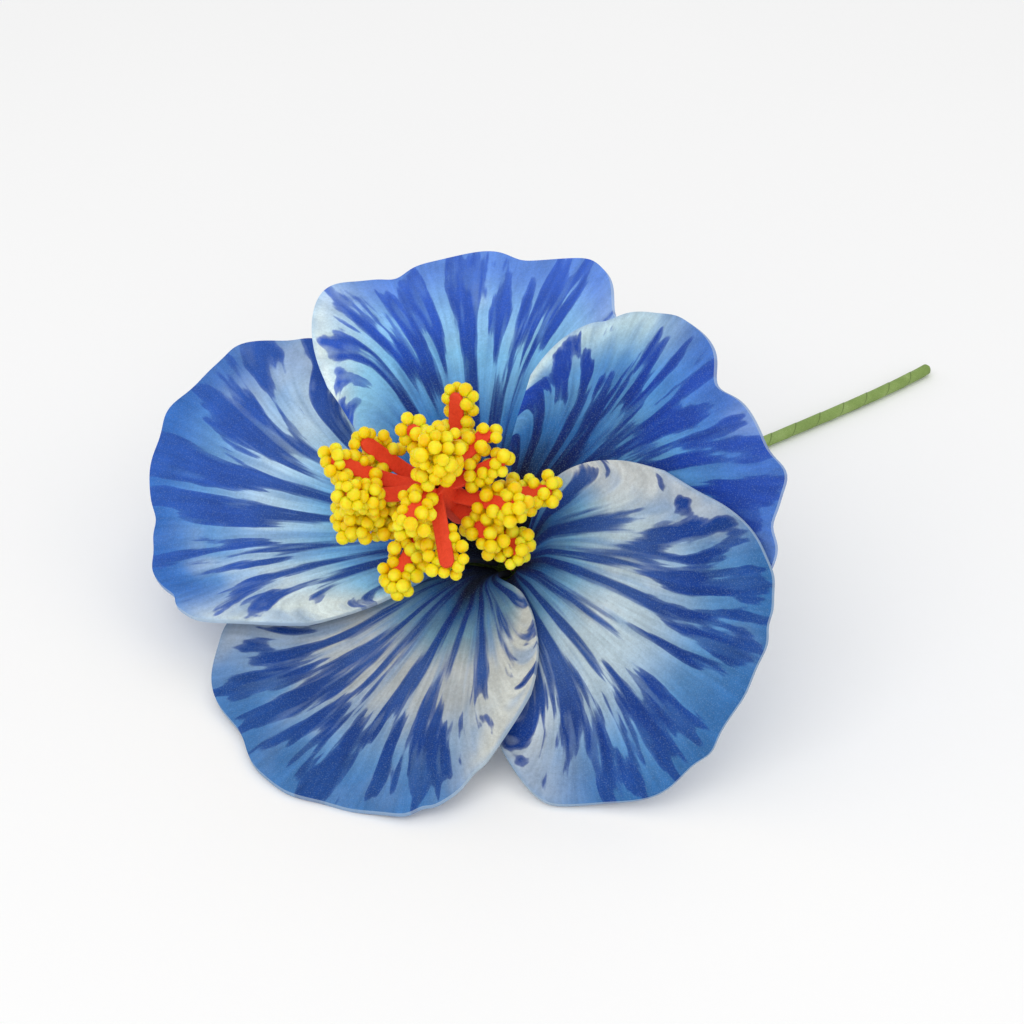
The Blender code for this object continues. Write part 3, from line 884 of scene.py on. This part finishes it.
def make_beads(name, places, yellow, node):
    """Copies of one bead, joined into one piece."""
    deselect()
    bpy.ops.mesh.primitive_ico_sphere_add(subdivisions=2, radius=1.0)
    first = bpy.context.object
    bpy.ops.object.shade_smooth()
    copies = []
    for index, (spot, radius) in enumerate(places):
        copy = first.copy()
        copy.data = first.data.copy()
        copy.location = PISTIL @ spot
        copy.scale = (radius, radius, radius)
        copy.rotation_euler = (index * 1.3, index * 0.7, index * 2.1)
        bpy.context.scene.collection.objects.link(copy)
        copies.append(copy)
    select(*copies)
    bpy.ops.object.transform_apply(location=True, rotation=True, scale=True)
    bpy.ops.object.join()
    piece = bpy.context.object
    piece.name = piece.data.name = name
    bpy.data.objects.remove(first)
    coat(piece, [yellow])
    finish(piece, "pollen_beads", node)


def make_pistil(grain):
    red, yellow = red_foam(grain), yellow_beads()
    make_column(red)
    others = []
    dice = SeededDice(BEAD_SEED)
    for index, filament in enumerate(FILAMENTS, start=1):
        strip = shaped_grid(f"strip_{index:02d}", 6, 26, strip_shape(filament), PISTIL)
        modify(strip, "SOLIDIFY", thickness=STRIP_THICKNESS, offset=0.0)
        soften(strip, 0.00020, 50)
        smooth_shade(strip)
        coat(strip, [red])
        finish(strip, "pistil_foam", f"filament_{index:02d}")
        places = bead_places(filament, others, dice)
        others += places
        make_beads(f"beads_{index:02d}", places, yellow, f"pollen_{index:02d}")


# ---------------------------------------------------------------- stem

def bezier(start, first, second, end, steps):
    points = []
    for t in np.linspace(0, 1, steps):
        a, b, c = start.lerp(first, t), first.lerp(second, t), second.lerp(end, t)
        points.append(a.lerp(b, t).lerp(b.lerp(c, t), t))
    return points


def stem_line():
    """Middle line of the stem: down out of the calyx, then in a slow curve along the table."""
    start = AXIS @ Vector((0, 0, STEM_START))
    bend = AXIS @ Vector((0, 0, STEM_STRAIGHT))
    down = (bend - start).normalized()
    away = Vector((down.x, down.y, 0)).normalized()
    landing = bend + away * BEND_REACH
    landing.z = STEM_RADIUS
    end = THROAT + STEM_END
    end.z = STEM_RADIUS
    heading = math.radians(STEM_END_HEADING)
    last = Vector((math.cos(heading), math.sin(heading), 0))
    third = (end - landing).length / 3
    points = [start, start.lerp(bend, 0.5)]
    points += bezier(bend, bend + down * BEND_REACH * 0.28, landing - away * BEND_REACH * 0.5,
                     landing, 24)
    points += bezier(landing, landing + away * third, end - last * third, end, 60)[1:]
    return points


def stem_shape(line, length):
    """A tube along a line, stepped where the tape laps over itself, closed at both ends."""
    reach = np.concatenate([[0], np.cumsum([(b - a).length for a, b in zip(line, line[1:])])])
    frames, across = [], None
    for i in range(len(line)):
        ahead = (line[min(i + 1, len(line) - 1)] - line[max(i - 1, 0)]).normalized()
        across = ahead.orthogonal() if across is None else across
        across = (across - ahead * across.dot(ahead)).normalized()
        frames.append(across.copy())
    ends = np.array((0.0, ROUND_START, length - ROUND_END, length))
    near = 0.0003                       # how far to each side the tube's heading is measured

    def along(table, distance):
        return np.stack([np.interp(distance, reach, column) for column in np.array(table).T], -1)

    def shape(side, run):
        distance = run * length
        centre = along(line, distance)
        first = along(frames, distance)
        ahead = along(line, distance + near) - along(line, distance - near)
        ahead /= np.linalg.norm(ahead, axis=1)[:, None]
        first -= ahead * (first * ahead).sum(1)[:, None]
        first /= np.linalg.norm(first, axis=1)[:, None]
        second = np.cross(ahead, first)
        lap = (distance / TAPE_PITCH + (side + 1) / 2) % 1.0
        close = np.interp(distance, ends, (0.0, 1.0, 1.0, 0.0)) ** 0.5
        radius = (STEM_RADIUS - TAPE_OVERLAP * 0.6 + TAPE_OVERLAP * lap) * close
        turn = side * math.pi
        return centre + radius[:, None] * (first * np.cos(turn)[:, None]
                                           + second * np.sin(turn)[:, None])
    return shape


def make_stem():
    line = stem_line()
    length = sum((b - a).length for a, b in zip(line, line[1:]))
    piece = shaped_grid("taped_stem", 28, 420, stem_shape(line, length), weld=True)
    for corner in piece.data.uv_layers.active.data:
        corner.uv.y *= length / TAPE_PITCH
    edit(piece)
    bpy.ops.mesh.normals_make_consistent(inside=False)
    bpy.ops.object.mode_set(mode="OBJECT")
    smooth_shade(piece, 80)
    coat(piece, [floral_tape()])
    finish(piece, "stem_tape", "stem_tape")


def finish_wire():
    """The wire stays as the CAD has it, hidden in the tape and the column."""
    coat(frame["nodes"]["stem_wire"], [steel_wire()])


# ---------------------------------------------------------------- studio

CAMERA_FROM_THROAT = Vector((0.00007, -0.35314, 0.25762))
CAMERA_ELEVATION = 35.0
CAMERA_LENS = 85.0
FLOOR_SIZE, FLOOR_HEIGHT = 6.0, -0.0002
SKY_STRENGTH = 0.68

# Lamps: name, place, size in metres, power in watts
LAMPS = (
    ("key", Vector((-0.40, -0.55, 0.95)), 0.8, 2.6),
    ("fill", Vector((0.80, -0.35, 0.60)), 0.8, 0.9),
    ("front", Vector((0.05, -0.95, 0.62)), 0.7, 1.5),
    ("top", Vector((0.05, 0.45, 1.00)), 0.9, 1.0),
)


def make_studio():
    deselect()
    bpy.ops.mesh.primitive_plane_add(size=FLOOR_SIZE, location=(0, 0, FLOOR_HEIGHT))
    floor = bpy.context.object
    floor.name = "floor"
    floor.data.materials.append(pale_floor())

    for name, place, size, power in LAMPS:
        light = bpy.data.lights.new(name, "AREA")
        light.size = size
        light.energy = power
        lamp = bpy.data.objects.new(name, light)
        lamp.location = place
        lamp.rotation_mode = "QUATERNION"
        lamp.rotation_quaternion = (THROAT - lamp.location).to_track_quat("-Z", "Y")
        bpy.context.scene.collection.objects.link(lamp)

    world = bpy.data.worlds.new("studio")
    world.use_nodes = True
    background = world.node_tree.nodes["Background"]
    background.inputs[0].default_value = (1, 1, 1, 1)
    background.inputs[1].default_value = SKY_STRENGTH
    scene = bpy.context.scene
    scene.world = world
    scene.view_settings.view_transform = "Standard"

    lens = bpy.data.cameras.new("camera")
    lens.lens = CAMERA_LENS
    lens.sensor_width = 36.0
    lens.clip_start, lens.clip_end = 0.01, 20.0
    camera = bpy.data.objects.new("camera", lens)
    camera.location = THROAT + CAMERA_FROM_THROAT
    camera.rotation_euler = (math.radians(90.0 - CAMERA_ELEVATION), 0, 0)
    scene.collection.objects.link(camera)
    scene.camera = camera


# ---------------------------------------------------------------- all of it

def main():
    for thing in list(bpy.context.scene.objects):
        if thing.type in ("LIGHT", "CAMERA"):
            bpy.data.objects.remove(thing)
    grain = make_foam_grain()
    make_petals(grain)
    make_calyx(grain)
    make_pistil(grain)
    make_stem()
    finish_wire()
    make_studio()
    deselect()


main()
